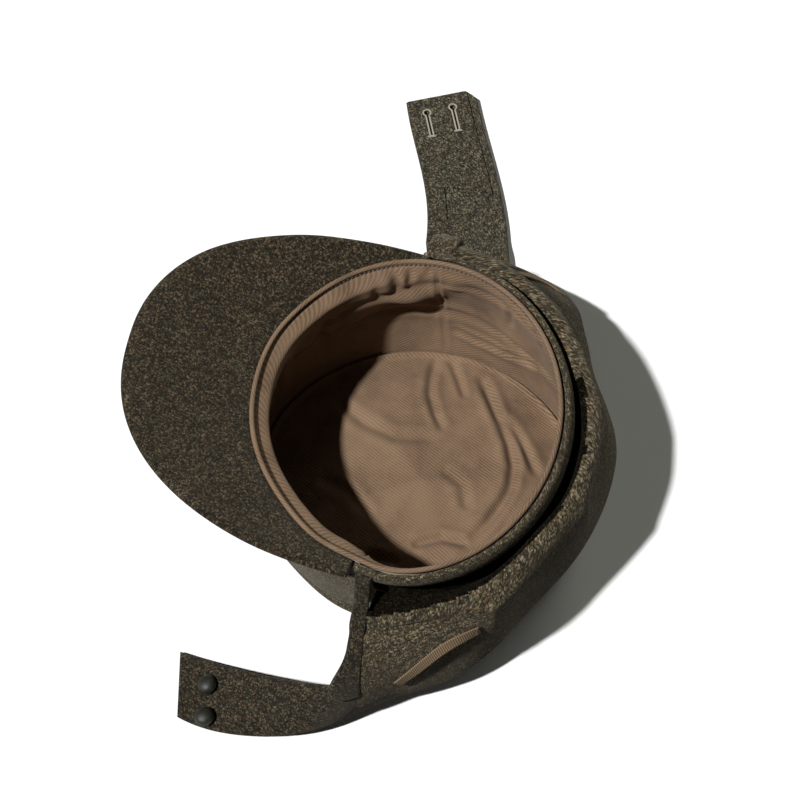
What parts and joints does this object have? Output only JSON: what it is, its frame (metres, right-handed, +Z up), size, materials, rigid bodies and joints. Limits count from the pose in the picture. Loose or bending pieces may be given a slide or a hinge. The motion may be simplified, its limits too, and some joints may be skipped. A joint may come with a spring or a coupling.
{
  "type": "military peaked cap",
  "caption": "Wool field cap with a soft stitched peak, cotton lining and a fold-down ear and neck flap whose straps button together, lying open on its crown.",
  "frame": {"origin": "middle of the crown's flat outer face, which the cap lies on", "axes": "+Z up out of the head opening, -X towards the peak, +Y to the wearer's left"},
  "size_m": [0.2708, 0.46, 0.117],
  "materials": {
    "wool": "felted melange wool cloth",
    "cotton": "matte cotton twill",
    "canvas": "stiff canvas",
    "board": "pressed board",
    "button": "satin painted",
    "thread": "matte thread"
  },
  "bodies": {
    "cap": {"crown_tip": "wool", "side_panel_back": "wool", "side_panel_front_left": "wool", "side_panel_front_right": "wool", "rim_band_left": "wool", "rim_band_right": "wool", "corner_tab_left": "wool", "corner_tab_right": "wool", "peak_under_cover": "wool", "peak_upper_cover": "wool", "flap_fold_right": "wool", "flap_fold_back": "wool", "flap_fold_left": "wool", "right_flap_corner_facing": "wool", "right_flap_corner_shell": "wool", "left_flap_corner_facing": "wool", "left_flap_corner_shell": "wool", "lining_back": "cotton", "lining_front_left": "cotton", "lining_front_right": "cotton", "lining_edge": "cotton", "lining_tip": "cotton", "stiffening_left": "canvas", "stiffening_right": "canvas", "peak_board": "board"},
    "neck_flap": {"neck_flap_facing": "wool", "neck_flap_shell": "wool"},
    "right_ear_flap": {"right_ear_flap_facing": "wool", "right_ear_flap_shell": "wool", "right_flap_hem": "wool", "right_tape_loop": "cotton"},
    "left_ear_flap": {"left_ear_flap_facing": "wool", "left_ear_flap_shell": "wool", "left_flap_hem": "wool", "left_tape_loop": "cotton"},
    "right_strap": {"right_strap_facing": "wool", "right_strap_shell": "wool", "upper_button": "button", "upper_button_thread": "thread", "lower_button": "button", "lower_button_thread": "thread"},
    "left_strap": {"left_strap_facing": "wool", "left_strap_shell": "wool", "buttonhole_patch": "wool", "rear_buttonhole_stitching": "thread", "front_buttonhole_stitching": "thread"}
  },
  "joints": [
    {"name": "neck_fold", "type": "hinge", "parent": "cap", "child": "neck_flap", "pos_m": [0.10064, 0, 0.074], "axis": [0, -1, 0], "range_deg": [0, 120]},
    {"name": "right_ear_fold", "type": "hinge", "parent": "cap", "child": "right_ear_flap", "pos_m": [0.02867, -0.113, 0.074], "axis": [-0.9213, -0.3889, 0], "range_deg": [0, 110]},
    {"name": "left_ear_fold", "type": "hinge", "parent": "cap", "child": "left_ear_flap", "pos_m": [0.02867, 0.113, 0.074], "axis": [0.9213, -0.3889, 0], "range_deg": [0, 110]},
    {"name": "right_strap_swing", "type": "hinge", "parent": "right_ear_flap", "child": "right_strap", "pos_m": [-0.00453, -0.14559, 0.04311], "axis": [0, 0, 1], "range_deg": [0, 80]},
    {"name": "left_strap_lift", "type": "hinge", "parent": "left_ear_flap", "child": "left_strap", "pos_m": [-0.00851, 0.17301, 0.00645], "axis": [0.989, -0.1481, 0], "range_deg": [0, 90]}
  ]
}
